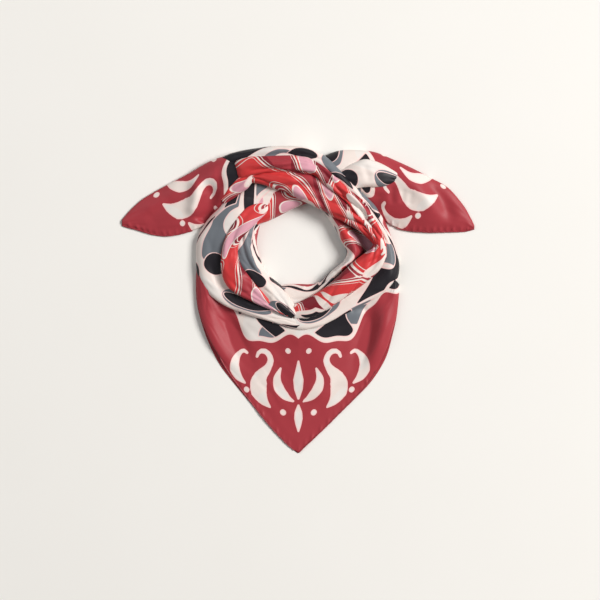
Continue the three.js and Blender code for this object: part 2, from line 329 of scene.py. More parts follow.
profiles = {  # share of the way from the outer edge to the inner one, share of the height
    "ridge": [(0.16, 0.0), (0.03, 0.12), (0.0, 0.4), (0.05, 0.72), (0.18, 0.92), (0.42, 1.0),
              (0.66, 0.97), (0.86, 0.84), (0.98, 0.52), (0.96, 0.2), (0.82, 0.02)],
    "outerRoll": [(0.18, 0.0), (0.05, 0.03), (0.0, 0.22), (0.03, 0.5), (0.14, 0.8), (0.35, 0.97),
                  (0.6, 1.0), (0.82, 0.95), (0.95, 0.86), (1.05, 0.78), (1.12, 0.72)],
    "armRoll": [(-0.2, 0.7), (-0.05, 0.78), (0.12, 0.88), (0.34, 0.97), (0.55, 1.0), (0.76, 0.92),
                (0.9, 0.7), (0.98, 0.42), (1.0, 0.2), (0.97, 0.03), (0.84, 0.0)],
    "neckRoll": [(-0.35, 0.62), (-0.12, 0.72), (0.08, 0.86), (0.3, 0.98), (0.5, 1.0), (0.7, 0.9),
                 (0.86, 0.68), (0.96, 0.4), (1.0, 0.18), (0.97, 0.02), (0.82, 0.0)],
    "neckWall": [(-0.1, 0.02), (0.1, 0.03), (0.26, 0.07), (0.38, 0.3), (0.48, 0.68), (0.6, 0.93),
                 (0.74, 1.0), (0.88, 0.88), (0.98, 0.55), (1.0, 0.25), (0.97, 0.03), (0.85, 0.0)],
    "flatHem": [(0.0, 0.0), (0.06, 0.06), (0.2, 0.13), (0.38, 0.19), (0.54, 0.27), (0.68, 0.4),
                (0.8, 0.6), (0.9, 0.84), (0.97, 0.98), (1.03, 1.0), (1.1, 0.98)],
    "sideRoll": [(0.16, 0.0), (0.04, 0.04), (0.0, 0.18), (0.04, 0.4), (0.14, 0.64), (0.3, 0.88),
                 (0.48, 1.0), (0.66, 0.98), (0.82, 0.95), (0.96, 0.98), (1.1, 1.0)],
    "tail": [(0.2, 0.0), (0.04, 0.05), (0.0, 0.3), (0.05, 0.62), (0.2, 0.9), (0.4, 1.0),
             (0.6, 0.92), (0.76, 0.7), (0.88, 0.42), (0.96, 0.2), (1.0, 0.1)],
}


def sectionPoints(profile, width, height, count):
    shares = np.array(profile, float)
    places, length = evenPlaces(shares * [width, height], count)
    return lineThrough(shares, places), length


def gatheredSide(side, tip, edge, shares):
    # cloth gathered in at its two edges brings more of the print to them, by a share left and right
    low = int(np.argmin(edge[:, 1]))
    left = np.interp(tip, edge[low::-1, 1], -edge[low::-1, 0])
    right = np.interp(tip, edge[low:, 1], edge[low:, 0])
    half = np.maximum(np.where(side < 0, left, right), 1)
    share = np.where(side < 0, shares[0], shares[1])
    return side + np.sign(side) * share * np.maximum(tip - half, 0) * np.abs(side / half) ** 3


def printOn(at, points, outer, along, across):
    # the print's fields over a stretch, and the place of each point on the flat cloth
    if at["from"] == "corner":
        tip, side = at["tip"] + at["way"] * along, at["side"] + across
        return cornerFields(side, tip), np.dstack([tip, side])
    if at["from"] == "plan":
        tip = points[:, :, 1] - at["tipY"]
        side = gatheredSide(points[:, :, 0], tip, outer - [0, at["tipY"]], at["gathered"])
        return cornerFields(side, tip), points[:, :, :2]
    start = np.interp(along / along.max(), *np.transpose(at["inward"]))
    ring, inward = at["ring"] + at["way"] * along, start + at["over"] * across
    return printFields(ring, inward), np.dstack([ring, inward])


def layRows(spec):
    # points of a stretch before its folds, with how far each is along it and across it
    rows = table(rowNames, spec["rows"])
    outer = np.column_stack([rows["outerX"], rows["outerY"]])
    inner = np.column_stack([rows["innerX"], rows["innerY"]])
    others = np.column_stack([rows["crest"], rows["foot"], rows["roll"]])
    middle = (outer + inner) / 2
    _, length = evenPlaces(middle, 8)
    long = max(12, int(length / cloth["step"]))
    places, _ = evenPlaces(middle, long)
    outer, inner = lineThrough(outer, places), lineThrough(inner, places)
    crest, foot, roll = lineThrough(others, places).T
    width = float(np.median(np.linalg.norm(inner - outer, axis=1)))
    height = float(np.median(crest - foot))
    wide = max(10, int(sectionPoints(profiles[spec["profile"]], width, height, 4)[1] / cloth["step"]))
    section, breadth = sectionPoints(profiles[spec["profile"]], width, height, wide)
    other, _ = sectionPoints(profiles[spec.get("rolled", spec["profile"])], width, height, wide)
    roll = np.clip(roll, 0, 1)[:, None, None]
    shares = section[None] * (1 - roll) + other[None] * roll
    flatPlace = outer[:, None] + (inner - outer)[:, None] * shares[:, :, :1]
    toInner = smoothStep(0.3, 0.7, shares[:, :, 0])
    foot = foot[:, None] * (1 - toInner) + np.array(spec.get("innerFoot", foot[:, None])) * toInner
    z = foot + shares[:, :, 1] * (crest[:, None] - foot)
    along = np.broadcast_to(np.linspace(0, length, long + 1)[:, None], z.shape)
    across = np.broadcast_to(np.linspace(0, breadth, wide + 1)[None], z.shape)
    return np.dstack([flatPlace, z]), along, across, outer


def makeStretch(name, spec):
    points, along, across, outer = layRows(spec)
    length, breadth = float(along.max()), float(across.max())
    points = pressPleats(points, breadth, spec.get("pleats", []))
    points = pressFolds(points, spec.get("folds", []))
    dents = spec.get("dents", {"each": 420, "height": 1.0})
    count = int(length * breadth / dents["each"])
    points = pressDents(points, along, across, spec["seed"], count, dents["height"])
    for edge, low, high in spec.get("gathers", []):
        points = pressPuckers(points, length, edge, low, high, spec["seed"])
    points = ripple(points, along, across, spec["seed"], spec.get("ripple", 0.25))
    lowest = spec.get("lowest", cloth["thickness"] + cloth["clearance"])
    soft = 0.3  # mm over which the cloth eases onto what lies under it
    points[:, :, 2] = lowest + soft * np.logaddexp(0, (points[:, :, 2] - lowest) / soft)
    fields, flat = printOn(spec["print"], points, outer, along, across)
    mesh = gridMesh(name, points, fields, flat)
    obj = bpy.data.objects.new(name, mesh)
    bpy.context.scene.collection.objects.link(obj)
    mesh.materials.append(printedSilk)
    shell = obj.modifiers.new("layer", "SOLIDIFY")
    shell.thickness = cloth["thickness"] * mm
    shell.offset = -1
    obj["length"], obj["breadth"] = length, breadth
    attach(obj, "root")
    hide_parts(*spec["nodes"])
    return obj, points


# silk

inkColours = {
    "dustyRed": (0.645, 0.218, 0.250),
    "cream": (0.910, 0.858, 0.830),
    "creamGhost": (0.898, 0.868, 0.848),
    "grey": (0.430, 0.450, 0.475),
    "charcoal": (0.130, 0.118, 0.140),
    "brightRed": (0.812, 0.232, 0.236),
    "burgundy": (0.500, 0.125, 0.170),
    "pink": (0.850, 0.620, 0.675),
    "outline": (0.945, 0.800, 0.785),
}


def linear(name):
    return [*(((c + 0.055) / 1.055) ** 2.4 for c in inkColours[name]), 1.0]


class Nodes:
    # short names for adding and joining the nodes of a material
    def __init__(self, material):
        material.use_nodes = True
        self.tree = material.node_tree
        self.tree.nodes.clear()

    def add(self, kind, inputs=None, **settings):
        node = self.tree.nodes.new(kind)
        for key, value in settings.items():
            setattr(node, key, value)
        for key, value in (inputs or {}).items():
            if isinstance(value, bpy.types.NodeSocket):
                self.tree.links.new(value, node.inputs[key])
            else:
                node.inputs[key].default_value = value
        return node

    def math(self, operation, *values):
        return self.add("ShaderNodeMath", dict(enumerate(values)), operation=operation).outputs[0]

    def step(self, value, low, high):
        inputs = {"Value": value, "From Min": low, "From Max": high}
        return self.add("ShaderNodeMapRange", inputs, interpolation_type="SMOOTHSTEP").outputs[0]

    def mix(self, share, first, second):
        node = self.add("ShaderNodeMix", data_type="RGBA")
        for socket, value in ((node.inputs[0], share), (node.inputs[6], first), (node.inputs[7], second)):
            if isinstance(value, bpy.types.NodeSocket):
                self.tree.links.new(value, socket)
            else:
                socket.default_value = value
        return node.outputs[2]


def makePrintedSilk():
    material = bpy.data.materials.new("printedSilk")
    n = Nodes(material)
    bleed = 0.15  # mm over which one ink meets the next
    stripes = (4.4, -4.0)  # mm from the edge of a bright band to the fine lines beside it

    def field(name):
        return n.add("ShaderNodeAttribute", attribute_name=name).outputs["Fac"]

    def inked(colour, away, ink, line=None, lineWidth=0.6):
        # colour where the distance is below zero, with a line drawn on its edge
        colour = n.mix(n.step(away, bleed, -bleed), colour, ink)
        if line is None:
            return colour
        gap = n.math("ABSOLUTE", away)
        return n.mix(n.step(gap, lineWidth + bleed, lineWidth - bleed), colour, line)

    cream, outline = linear("cream"), linear("outline")
    petal, deep = field("petal"), field("deep")
    reds = inked(linear("dustyRed"), deep, linear("burgundy"))
    reds = inked(reds, petal, linear("brightRed"), cream, 1.1)
    for stripe in stripes:
        gap = n.math("ABSOLUTE", n.math("ADD", petal, stripe))
        reds = n.mix(n.step(gap, 0.55, 0.25), reds, cream)
    reds = inked(reds, field("rose"), linear("pink"), cream, 0.8)
    reds = inked(reds, field("pale"), cream, outline)
    colour = n.mix(n.step(field("middle"), bleed, -bleed), linear("dustyRed"), reds)
    ghost = n.mix(n.step(field("ghost"), 0.5, -0.5), linear("cream"), linear("creamGhost"))
    colour = inked(colour, field("cream"), ghost, outline, 0.75)
    colour = inked(colour, field("grey"), linear("grey"), outline)
    colour = inked(colour, field("charcoal"), linear("charcoal"), outline)
    place = n.add("ShaderNodeTexCoord").outputs["Object"]
    cloudy = n.add("ShaderNodeTexNoise", {"Vector": place, "Scale": 38.0, "Detail": 3.0}).outputs["Fac"]
    bright = n.add("ShaderNodeMapRange", {"Value": cloudy, "To Min": 0.93, "To Max": 1.07}).outputs[0]
    shade = n.add("ShaderNodeHueSaturation", {"Color": colour, "Value": bright}).outputs[0]
    flat = n.add("ShaderNodeUVMap", uv_map="cloth").outputs["UV"]
    twill = n.add("ShaderNodeTexWave", {"Vector": flat, "Scale": 620.0, "Distortion": 0.6, "Detail": 1.0},
                  bands_direction="DIAGONAL").outputs["Fac"]
    crumple = n.add("ShaderNodeTexNoise", {"Vector": place, "Scale": 95.0, "Detail": 2.0}).outputs["Fac"]
    soft = n.add("ShaderNodeBump", {"Height": crumple, "Strength": 0.06, "Distance": 0.002}).outputs[0]
    bump = n.add("ShaderNodeBump", {"Height": twill, "Strength": 0.06, "Distance": 0.0002, "Normal": soft})
    gloss = n.add("ShaderNodeMapRange", {"Value": twill, "To Min": 0.42, "To Max": 0.52}).outputs[0]
    shader = n.add("ShaderNodeBsdfPrincipled", {
        "Base Color": shade, "Roughness": gloss, "Normal": bump.outputs[0], "Specular IOR Level": 0.24,
        "Sheen Weight": 0.05, "Sheen Roughness": 0.4,
    })
    n.add("ShaderNodeOutputMaterial", {"Surface": shader.outputs[0]})
    return material


printedSilk = makePrintedSilk()
print("silk ready")


# the stretches, in mm

frontCorner = {
    "nodes": ["front_corner_upper"], "slot": "silk_border", "seed": 3, "ripple": 0.25, "lowest": 1.3,
    "profile": "flatHem", "rolled": "sideRoll",
    "rows": [
        (-142, 44, -127, 40, 13, 0.8, 1), (-143, 30, -123, 26, 13, 0.8, 1),
        (-143, 12, -112, 13, 13, 0.8, 1), (-141, -9, -101, 3, 10.5, 0.8, 0.95),
        (-134, -36, -87, -7, 9.5, 0.8, 0.85), (-124, -63, -75, -12, 9.5, 0.8, 0.65),
        (-110, -90, -65, -16, 10.5, 0.8, 0.4), (-92, -114, -57, -19, 12, 0.8, 0.18),
        (-63, -149, -40, -24, 12, 0.8, 0.05), (-37, -180, -23, -30, 12, 0.8, 0),
        (-16, -202, -9, -34, 12, 0.8, 0), (-5, -211, -3, -35, 12, 0.8, 0), (0, -214, 1, -35, 12, 0.8, 0),
        (5, -209, 5, -34, 12, 0.8, 0), (20, -195, 15, -32, 12, 0.8, 0), (40, -176, 27, -28, 12, 0.8, 0),
        (61, -155, 41, -23, 12, 0.8, 0), (82, -135, 57, -16, 12, 0.8, 0.04),
        (100, -116, 70, -10, 12, 0.8, 0.12), (114, -96, 84, -3, 12, 0.8, 0.3),
        (124, -76, 97, 4, 12, 0.8, 0.5), (131, -51, 109, 11, 12, 0.8, 0.7),
        (137, -25, 120, 17, 12, 0.8, 0.85), (140, 2, 127, 22, 13, 0.8, 0.95),
        (141, 22, 130, 32, 13, 0.8, 1),
    ],
    "folds": [
        {"path": [(-136, 24), (-133, -12), (-122, -50), (-104, -84), (-84, -112)],
         "width": 15, "height": 6.0,
         "fade": (0.4, 0.45)},
        {"path": [(-110, 16), (-104, -16), (-90, -52), (-70, -88), (-52, -112)],
         "width": 13, "height": -7.4,
         "fade": (0.4, 0.5)},
        {"path": [(-127, 12), (-117, 4), (-104, -2)], "width": 6, "height": -2.4},
        {"path": [(100, 18), (98, -31), (90, -67), (79, -94), (68, -112)], "width": 12, "height": -7.5,
         "fade": (0.4, 0.5)},
        {"path": [(126, 10), (121, -31), (110, -67), (100, -94), (90, -112)], "width": 12, "height": 6.0,
         "fade": (0.4, 0.45)},
        {"path": [(-24, -46), (-14, -100), (-8, -140)], "width": 24, "height": -1.2},
        {"path": [(40, -40), (34, -90), (20, -150)], "width": 24, "height": 2.6},
        {"path": [(-70, -20), (-84, -16), (-100, -12)], "width": 5, "height": -2.0},
        {"path": [(70, -14), (84, -12), (98, -12)], "width": 5, "height": -2.0},
    ],
    "dents": {"each": 3600, "height": 0.5},
    "gathers": [(0, 0.3, 0.75)],
    "print": {"from": "plan", "tipY": -214, "gathered": (0.5, 0.12)},
}

outerLeft = {
    "nodes": ["outer_fold_left", "left_arm"], "slot": "silk_field", "seed": 5,
    "dents": {"each": 900, "height": 0.8},
    "profile": "outerRoll", "rolled": "armRoll",
    "rows": [
        (26, 160, 26, 140, 17, 1, 1), (2, 160, 10, 134, 18, 1, 1), (-19, 162, -10, 126, 20, 1, 1),
        (-43, 165, -27, 117, 20, 1, 1), (-68, 164, -42, 110, 21, 1, 1), (-88, 152, -56, 104, 21, 1, 0.6),
        (-108, 134, -64, 96, 21, 1, 0), (-126, 112, -72, 88, 20, 1, 0), (-140, 89, -78, 78, 19, 1, 0),
        (-143, 70, -84, 66, 18, 1, 0), (-143, 49, -86, 50, 18, 1, 0), (-139, 28, -84, 36, 18, 3, 0),
        (-126, 9, -78, 22, 17, 8, 0), (-105, -7, -66, 10, 17, 10, 0), (-82, -17, -50, 0, 17, 11, 0),
        (-55, -26, -36, -8, 18, 11, 0), (-27, -35, -16, -16, 18, 11, 0), (-4, -41, 0, -22, 17, 11, 0),
        (16, -40, 20, -20, 12.5, 9, 0),
    ],
    "folds": [
        {"path": [(-124, 60), (-116, 34), (-98, 14), (-70, -2)], "width": 7, "height": -2.0},
        {"path": [(-60, 150), (-90, 128), (-112, 100)], "width": 12, "height": 1.2},
        {"path": [(-40, 150), (-64, 136), (-84, 118)], "width": 9, "height": -1.2},
    ],
    "pleats": [
        (0.55, 0.35, 0.0, 0.3, 6, -2.0), (0.8, 0.6, 0.02, 0.4, 5, 1.2), (0.45, 0.55, 0.3, 0.75, 7, -1.5),
        (0.7, 0.8, 0.5, 1.0, 5, -1.4), (0.3, 0.4, 0.6, 1.0, 8, 1.0), (0.6, 0.75, 0.12, 0.5, 3.5, -1.2),
    ],
    "print": {"from": "ring", "ring": -250, "way": 1,
              "inward": [(0, 84), (0.16, 72), (0.3, 10), (1, 12)], "over": 1},
}

outerRight = {
    "nodes": ["outer_fold_right"], "slot": "silk_field", "seed": 8,
    "dents": {"each": 900, "height": 0.8},
    "profile": "outerRoll",
    "rows": [
        (-20, -38, -14, -18, 16, 10, 0), (4, -42, 6, -21, 18, 11, 0), (28, -38, 28, -14, 18, 11, 0),
        (51, -27, 46, -2, 18, 11, 0), (76, -15, 68, 12, 18, 11, 0), (98, -3, 87, 28, 18, 9, 0),
        (120, 9, 103, 44, 18, 6, 0), (137, 26, 112, 60, 19, 2, 0), (141, 46, 114, 76, 19, 1, 0),
        (137, 67, 112, 90, 18, 1, 0), (130, 88, 106, 106, 18, 1, 0), (122, 108, 96, 122, 18, 1, 0),
        (108, 130, 84, 140, 18, 1, 0), (90, 150, 70, 156, 18, 1, 0), (72, 166, 58, 170, 18, 1, 0),
    ],
    "folds": [
        {"path": [(124, 50), (116, 38), (96, 22), (66, 2)], "width": 7, "height": -1.5},
        {"path": [(126, 92), (118, 112), (104, 132)], "width": 6, "height": -2.0},
    ],
    "pleats": [
        (0.45, 0.6, 0.0, 0.5, 7, -1.4), (0.7, 0.5, 0.2, 0.7, 5, 1.2), (0.35, 0.5, 0.45, 0.95, 4, -1.8),
        (0.6, 0.7, 0.6, 1.0, 4, 1.2),
        (0.3, 0.6, 0.66, 0.86, 3, -2.4), (0.65, 0.35, 0.74, 0.95, 3, -2.0),
    ],
    "print": {"from": "ring", "ring": -30, "way": 1, "inward": [(0, 12), (1, 18)], "over": 1},
}

middleLeft = {
    "nodes": ["middle_fold_left"], "slot": "silk_field", "seed": 13,
    "profile": "ridge", "innerFoot": 17,
    "rows": [
        (-47, 134, -41, 130, 20, 17, 0), (-58, 134, -44, 121, 22, 16, 0), (-74, 127, -55, 110, 24, 15, 0),
        (-89, 110, -67, 97, 26, 13, 0), (-101, 88, -79, 83, 27, 12, 0), (-107, 66, -84, 68, 28, 12, 0),
        (-108, 44, -79, 49, 28, 12, 0), (-101, 22, -68, 33, 28, 12, 0), (-87, 8, -57, 19, 28, 12, 0),
        (-65, -3, -44, 6, 27, 13, 0), (-44, -12, -30, -5, 25, 13, 0), (-23, -20, -13, -14, 22, 14, 0),
        (0, -27, 3, -22, 17, 13, 0),
    ],
    "folds": [
        {"path": [(-74, 118), (-92, 92), (-97, 62), (-88, 32), (-64, 12)], "width": 5, "height": -1.8},
        {"path": [(-92, 60), (-86, 40), (-68, 20), (-46, 4)], "width": 6, "height": 1.6},
    ],
    "pleats": [
        (0.35, 0.6, 0.0, 0.45, 4, -2.2), (0.6, 0.45, 0.2, 0.7, 3.5, 1.4), (0.3, 0.6, 0.45, 1.0, 3.5, -2.4),
        (0.7, 0.4, 0.5, 1.0, 2.8, -1.8), (0.5, 0.3, 0.6, 1.0, 3, 1.0),
    ],
    "print": {"from": "ring", "ring": -180, "way": 1, "inward": [(0, 92), (1, 92)], "over": 1},
}

innerLeft = {
    "nodes": ["inner_fold_left"], "slot": "silk_field", "seed": 21,
    "profile": "neckRoll",
    "rows": [
        (-70, 108, -54, 104, 19, 1, 0), (-80, 98, -56, 95, 21, 1, 0), (-87, 80, -58, 80, 22, 1, 0),
        (-86, 63, -55, 64, 22, 1, 0), (-79, 46, -48, 46, 22, 1, 0), (-67, 30, -37, 31, 23, 1, 0),
        (-57, 15, -24, 20, 25, 1, 0), (-46, 3, -15, 9, 27, 6, 0), (-34, -8, -8, -2, 28, 12, 0),
        (-20, -18, -4, -12, 26, 14, 0), (-8, -25, -1, -20, 20, 12, 0),
    ],
    "folds": [
        {"path": [(-80, 78), (-74, 56), (-58, 34), (-36, 14)], "width": 6, "height": -1.6},
    ],
    "pleats": [
        (0.25, 0.55, 0.0, 0.6, 3.4, -2.8), (0.55, 0.35, 0.3, 0.9, 4, 2.0), (0.7, 0.42, 0.4, 1.0, 3, -3.0),
        (0.3, 0.5, 0.62, 1.0, 2.6, -2.6), (0.5, 0.7, 0.1, 0.5, 3, -1.8),
    ],
    "print": {"from": "ring", "ring": -140, "way": 1, "inward": [(0, 68), (1, 68)], "over": -1},
}

innerRight = {
    "nodes": ["inner_fold_right"], "slot": "silk_field", "seed": 34,
    "profile": "neckWall", "rolled": "neckRoll",
    "rows": [
        (-44, 2, -36, 24, 13, 1, 1), (-22, -4, -24, 21, 14, 1, 1), (-8, -8, -12, 22, 15, 1, 1),
        (6, -6, 5, 22, 16, 1, 1), (22, 2, 22, 22, 17, 1, 1), (38, 14, 33, 28, 19, 1, 0.8),
        (55, 26, 42, 37, 20, 1, 0.5), (74, 40, 53, 46, 21, 1, 0.2), (92, 54, 64, 56, 22, 1, 0),
        (106, 68, 67, 68, 22, 1, 0), (103, 86, 60, 81, 22, 1, 0), (91, 102, 54, 94, 22, 1, 0),
        (77, 116, 49, 103, 22, 1, 0), (62, 129, 41, 115, 22, 1, 0), (46, 140, 35, 123, 22, 1, 0),
    ],
    "folds": [
        {"path": [(60, 112), (66, 92), (78, 72), (70, 56), (50, 42)], "width": 5, "height": 1.5},
    ],
    "pleats": [
        (0.5, 0.62, 0.1, 0.55, 4, -1.8), (0.62, 0.5, 0.3, 0.8, 3.5, 1.6), (0.4, 0.55, 0.6, 1.0, 3.5, -2.0),
    ],
    "print": {"from": "ring", "ring": 154, "way": 1,
              "inward": [(0, 70), (0.3, 74), (0.5, 118), (1, 118)], "over": -1},
}

middleRight = {
    "nodes": ["middle_fold_right"], "slot": "silk_field", "seed": 55,
    "profile": "ridge", "innerFoot": 15,
    "rows": [
        (-6, -28, -6, -6, 20, 10, 0), (12, -27, 10, 2, 24, 10, 0), (28, -21, 22, 8, 28, 10, 0),
        (45, -11, 33, 15, 31, 10, 0), (66, 3, 50, 29, 34, 10, 0), (90, 21, 69, 47, 35, 10, 0),
        (111, 39, 86, 61, 36, 10, 0), (122, 58, 100, 71, 36, 10, 0), (122, 75, 104, 80, 35, 10, 0),
        (117, 92, 100, 92, 32, 10, 0), (106, 108, 90, 104, 28, 10, 0),
    ],
    "folds": [
        {"path": [(20, -14), (48, 6), (78, 30), (104, 54)], "width": 4, "height": -1.6},
        {"path": [(34, 2), (60, 22), (88, 46)], "width": 4, "height": 1.2},
        {"path": [(84, 24), (100, 40), (112, 60), (112, 78)], "width": 4, "height": -2.0},
    ],
    "pleats": [
        (0.3, 0.6, 0.04, 0.4, 3, -2.2), (0.65, 0.4, 0.12, 0.55, 2.8, 1.6),
        (0.2, 0.55, 0.35, 0.8, 2.8, -2.8), (0.75, 0.35, 0.4, 0.85, 2.6, -2.8),
        (0.45, 0.8, 0.58, 0.95, 2.2, -2.8), (0.15, 0.5, 0.66, 1.0, 2.2, -2.6),
        (0.6, 0.85, 0.7, 1.0, 2.2, 1.6), (0.3, 0.65, 0.78, 1.0, 2, -2.2),
    ],
    "print": {"from": "ring", "ring": 96, "way": 1,
              "inward": [(0, 44), (0.16, 50), (0.3, 90), (1, 94)], "over": 1},
}

upperInner = {
    "nodes": ["upper_arm_inner"], "slot": "silk_field", "seed": 89,
    "profile": "ridge", "innerFoot": 14,
    "rows": [
        (118, 76, 106, 72, 32, 23, 0), (110, 94, 99, 82, 34, 23, 0), (95, 110, 84, 95, 36, 23, 0),
        (78, 125, 67, 105, 36, 23, 0), (63, 138, 51, 113, 35, 23, 0), (48, 151, 36, 122, 35, 23, 0),
        (33, 164, 20, 130, 36, 23, 0), (15, 176, 3, 138, 37, 23, 0), (-6, 179, -14, 147, 37, 23, 0),
        (-26, 181, -33, 153, 36, 25, 0), (-48, 181, -52, 160, 34, 24, 0), (-70, 177, -74, 164, 28, 20, 0),
    ],
    "folds": [
        {"path": [(104, 88), (74, 112), (44, 132), (14, 152), (-20, 164)], "width": 5, "height": -2.0},
        {"path": [(92, 104), (66, 120), (40, 140)], "width": 4, "height": 1.6},
    ],
    "pleats": [
        (0.2, 0.75, 0.0, 0.3, 2.6, -3.0), (0.8, 0.45, 0.0, 0.28, 2.6, -2.4),
        (0.45, 0.8, 0.1, 0.42, 2.4, -2.6), (0.15, 0.6, 0.16, 0.5, 2.8, -3.0),
        (0.55, 0.3, 0.12, 0.4, 2.2, 1.8), (0.3, 0.7, 0.36, 0.8, 3.2, -3.6),
        (0.75, 0.5, 0.42, 0.7, 2.6, -2.8), (0.55, 0.4, 0.45, 0.95, 3.2, 2.0),
        (0.2, 0.45, 0.55, 1.0, 2.8, -3.4), (0.78, 0.6, 0.66, 1.0, 2.6, -2.8),
        (0.4, 0.75, 0.5, 0.9, 2.2, -2.0),
    ],
    "print": {"from": "ring", "ring": 210, "way": 1, "inward": [(0, 96), (1, 100)], "over": 1},
}

upperMiddle = {
    "nodes": ["upper_arm_middle"], "slot": "silk_field", "seed": 144,
    "profile": "ridge",
    "rows": [
        (122, 64, 112, 60, 33, 27, 0), (121, 80, 106, 78, 36, 28, 0), (113, 100, 94, 98, 38, 28, 0),
        (99, 121, 80, 118, 39, 28, 0), (83, 140, 65, 135, 39, 28, 0), (69, 154, 51, 147, 40, 28, 0),
        (55, 168, 37, 158, 41, 28, 0), (40, 182, 23, 171, 42, 28, 0), (23, 193, 8, 174, 43, 28, 0),
        (4, 199, -8, 175, 43, 28, 0), (-19, 200, -24, 176, 43, 28, 0), (-43, 199, -46, 175, 42, 28, 0),
        (-65, 198, -66, 172, 39, 28, 0), (-84, 194, -80, 168, 33, 22, 0), (-90, 190, -86, 172, 24, 18, 0),
    ],
    "folds": [
        {"path": [(110, 84), (92, 112), (70, 138), (44, 164)], "width": 4, "height": -2.2},
        {"path": [(20, 184), (-10, 190), (-44, 188), (-70, 184)], "width": 6, "height": 1.2},
        {"path": [(30, 182), (6, 184), (-24, 184)], "width": 3.5, "height": -1.6},
    ],
    "pleats": [
        (0.2, 0.7, 0.0, 0.26, 2.4, -3.0), (0.75, 0.4, 0.03, 0.34, 2.4, -2.8),
        (0.4, 0.8, 0.16, 0.42, 2.4, -2.6), (0.3, 0.55, 0.22, 0.5, 2.4, 1.8),
        (0.7, 0.3, 0.32, 0.66, 2.8, -3.2), (0.25, 0.42, 0.46, 1.0, 3, -3.6),
        (0.58, 0.52, 0.5, 1.0, 3.4, 2.4), (0.82, 0.66, 0.5, 0.98, 2.4, -4.0),
        (0.15, 0.3, 0.4, 0.75, 2.6, -2.6), (0.5, 0.75, 0.6, 0.95, 2.2, -2.6),
        (0.4, 0.6, 0.7, 1.0, 2, -1.8),
    ],
    "print": {"from": "ring", "ring": 150, "way": 1, "inward": [(0, 98), (0.6, 88), (1, 86)], "over": 1},
}

upperOuter = {
    "nodes": ["upper_arm_outer"], "slot": "silk_field", "seed": 233,
    "profile": "ridge", "innerFoot": 24,
    "rows": [
        (118, 88, 108, 90, 26, 12, 0), (110, 108, 94, 110, 30, 12, 0), (100, 126, 84, 128, 31, 12, 0),
        (90, 142, 73, 144, 32, 12, 0), (78, 159, 60, 156, 33, 10, 0), (62, 176, 46, 170, 34, 8, 0),
        (46, 193, 32, 182, 35, 4, 0), (32, 203, 18, 190, 36, 2, 0), (13, 211, 4, 194, 36, 1, 0),
        (-12, 214, -14, 195, 36, 1, 0), (-40, 213, -40, 194, 35, 1, 0), (-66, 210, -63, 190, 32, 1, 0),
        (-92, 205, -84, 184, 26, 1, 0), (-114, 197, -102, 178, 11, 1, 0),
    ],
    "folds": [
        {"path": [(20, 206), (-16, 208), (-56, 205)], "width": 4, "height": 1.0},
    ],
    "pleats": [
        (0.4, 0.6, 0.0, 0.4, 3, -2.4), (0.65, 0.5, 0.1, 0.5, 3, 1.4), (0.5, 0.6, 0.4, 1.0, 3.5, -1.6),
    ],
    "print": {"from": "ring", "ring": 30, "way": 1, "inward": [(0, 64), (0.3, 40), (1, 26)], "over": 1},
}

crossingLobe = {
    "nodes": ["crossing_lobe"], "slot": "silk_field", "seed": 377,
    "profile": "ridge",
    "rows": [
        (-70, 190, -54, 168, 30, 14, 0), (-78, 180, -64, 162, 31, 14, 0), (-84, 172, -71, 154, 30, 14, 0),
        (-92, 164, -80, 148, 27, 12, 0), (-101, 154, -90, 141, 23, 8, 0), (-110, 143, -102, 131, 15, 4, 0),
    ],
    "folds": [
        {"path": [(-66, 176), (-80, 162), (-98, 146)], "width": 3.5, "height": -2.4},
    ],
    "print": {"from": "ring", "ring": 318, "way": 1, "inward": [(0, 108), (1, 108)], "over": 1},
}

leftTail = {
    "nodes": ["left_tail"], "slot": "silk_border", "seed": 610,
    "profile": "tail",
    "rows": [
        (-247, 112, -247, 104, 3, 0.8, 0), (-242, 118, -240, 102, 4, 0.8, 0),
        (-233, 128, -225, 98, 5, 0.8, 0), (-218, 141, -208, 92.5, 7, 0.8, 0),
        (-201, 151, -191, 89.5, 9, 0.8, 0), (-183, 161, -174, 90.5, 11, 0.8, 0),
        (-164, 171, -158, 94, 13, 0.8, 0), (-149, 179, -142, 99, 16, 0.8, 0),
        (-134, 188, -128, 106, 20, 0.8, 0), (-115, 197, -112, 118, 24, 0.8, 0),
        (-96, 202, -96, 132, 27, 0.8, 0), (-76, 204, -80, 146, 29, 0.8, 0),
    ],
    "folds": [
        {"path": [(-142, 172), (-143, 142), (-150, 112)], "width": 9, "height": 6.0},
        {"path": [(-124, 172), (-122, 142), (-132, 106)], "width": 12, "height": -11.0,
         "fade": (0.35, 0.1)},
        {"path": [(-176, 150), (-196, 122), (-214, 106)], "width": 14, "height": -1.3},
        {"path": [(-158, 164), (-186, 142), (-222, 118)], "width": 9, "height": 1.5},
        {"path": [(-96, 186), (-122, 172), (-150, 152)], "width": 9, "height": 1.6},
        {"path": [(-106, 190), (-110, 168), (-104, 148)], "width": 6, "height": -2.0},
    ],
    "dents": {"each": 4200, "height": 0.5},
    "gathers": [(-1, 0.0, 0.6)],
    "print": {"from": "corner", "tip": 2, "way": 1, "side": -3},
}

